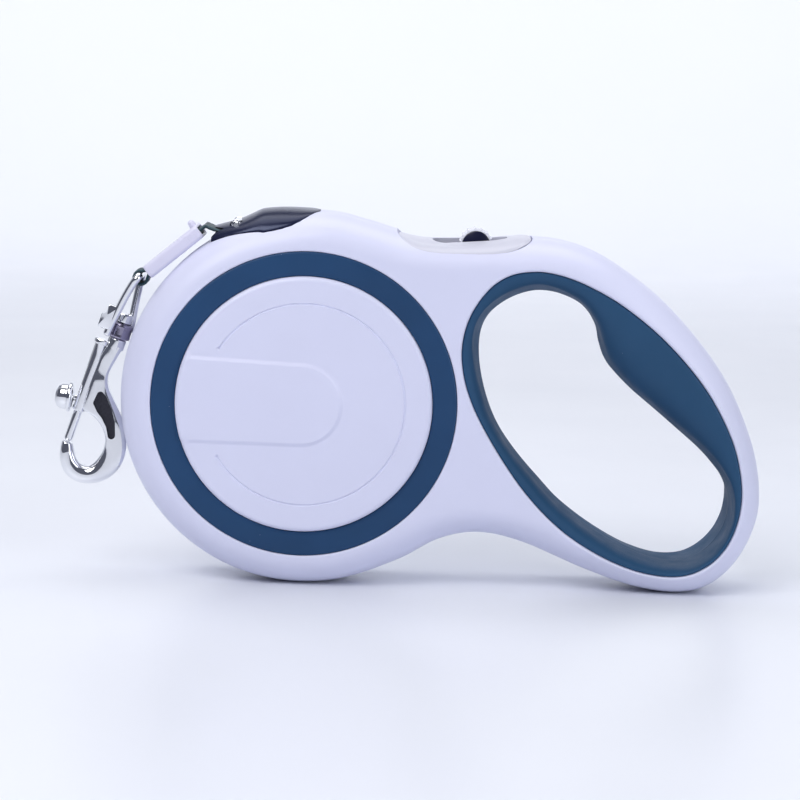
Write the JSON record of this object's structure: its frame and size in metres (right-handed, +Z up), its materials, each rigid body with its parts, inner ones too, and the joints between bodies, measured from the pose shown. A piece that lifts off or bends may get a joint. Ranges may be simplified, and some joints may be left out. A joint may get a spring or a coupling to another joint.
{
  "type": "retractable dog leash",
  "caption": "Handheld reel leash: a flat tape winds into a round casing with a looped hand grip, thumb brake and swivel bolt snap.",
  "frame": {"origin": "centre of the whole part's box, at its base", "axes": "+Z up with the leash standing on edge, front cover facing -Y, snap hook on the -X side and hand grip on the +X side"},
  "size_m": [0.1928, 0.0332, 0.1018],
  "materials": {
    "casing": "satin pale lavender-white ABS",
    "accent": "matte navy plastic",
    "grip": "soft-touch navy TPR",
    "mouth": "glossy smoky plastic",
    "button": "glossy dark navy plastic",
    "inner_plastic": "plain moulded plastic",
    "sleeve": "translucent pale plastic",
    "tape": "woven dark teal polyester tape",
    "steel": "plain steel",
    "chrome": "polished chrome plate",
    "dark_metal": "dark polished metal"
  },
  "bodies": {
    "casing": {"front_shell": "casing", "rear_shell": "casing", "front_ring": "accent", "rear_ring": "accent", "front_cover": "casing", "rear_cover": "casing", "front_grip": "grip", "rear_grip": "grip", "tape_mouth": "mouth", "guide_pins": "steel", "brake_panel": "casing", "lever_pin": "steel", "shell_screws": "steel", "reel_axle": "steel", "axle_washers": "steel"},
    "spool": {"spool_hub": "inner_plastic", "plain_flange": "inner_plastic", "ratchet_flange": "inner_plastic", "power_spring": "steel", "spring_cover": "steel", "wound_tape": "tape"},
    "upper_roller": {"upper_guide_roller": "chrome"},
    "lower_roller": {"lower_guide_roller": "chrome"},
    "lock_carriage": {"brake_carriage": "casing"},
    "button": {"brake_button": "button", "button_spring": "steel"},
    "lever": {"brake_lever": "inner_plastic"},
    "lead": {"tape_lead": "tape"},
    "tape_end": {"tape_sleeve": "sleeve", "tape_loop": "tape"},
    "eye": {"swivel_eye": "chrome", "swivel_ring": "dark_metal"},
    "hook": {"hook_body": "chrome", "bolt_spring": "steel"},
    "bolt": {"hook_bolt": "chrome"}
  },
  "joints": [
    {"name": "lead_swing", "type": "hinge", "parent": "casing", "child": "lead", "pos_m": [-0.05366, 0, 0.0952], "axis": [0, 1, 0], "range_deg": [0, 40], "deforming": ["tape_lead"]},
    {"name": "tape_pull", "type": "slide", "parent": "lead", "child": "tape_end", "axis": [-0.766, 0, -0.6428], "range_m": [0, 0.02988], "stiffness_N_per_m": 15, "springref_m": -0.15},
    {"name": "spool_spin", "type": "hinge", "parent": "casing", "child": "spool", "pos_m": [-0.02806, 0, 0.05], "axis": [0, -1, 0], "range_deg": [0, 40.2]},
    {"name": "hook_swing", "type": "hinge", "parent": "tape_end", "child": "eye", "pos_m": [-0.07376, 0, 0.0822], "axis": [0, 1, 0], "range_deg": [0, 60]},
    {"name": "swivel_spin", "type": "hinge", "parent": "eye", "child": "hook", "pos_m": [-0.07376, 0, 0.0822], "axis": [0.3173, 0, 0.9483], "range_deg": [-90, 90]},
    {"name": "bolt_slide", "type": "slide", "parent": "hook", "child": "bolt", "axis": [0.3173, 0, 0.9483], "range_m": [0, 0.0075], "stiffness_N_per_m": 200, "springref_m": -0.01, "deforming": ["bolt_spring"]},
    {"name": "lock_slide", "type": "slide", "parent": "casing", "child": "lock_carriage", "axis": [1, 0, 0], "range_m": [-0.006, 0]},
    {"name": "button_press", "type": "slide", "parent": "lock_carriage", "child": "button", "axis": [0, 0, -1], "range_m": [0, 0.0022], "stiffness_N_per_m": 1000, "springref_m": -0.003, "deforming": ["button_spring"]},
    {"name": "lever_turn", "type": "hinge", "parent": "casing", "child": "lever", "pos_m": [0.00344, 0, 0.0898], "axis": [0, 1, 0], "range_deg": [0, 8.8]},
    {"name": "upper_roller_spin", "type": "hinge", "parent": "casing", "child": "upper_roller", "pos_m": [-0.04756, 0, 0.0971], "axis": [0, 1, 0], "continuous": true},
    {"name": "lower_roller_spin", "type": "hinge", "parent": "casing", "child": "lower_roller", "pos_m": [-0.05136, 0, 0.0929], "axis": [0, 1, 0], "continuous": true}
  ],
  "couplings": [
    {"joint": "spool_spin", "follows": "tape_pull", "rad_per_m": 23.364},
    {"joint": "lever_turn", "follows": "button_press", "rad_per_m": 68.966}
  ]
}
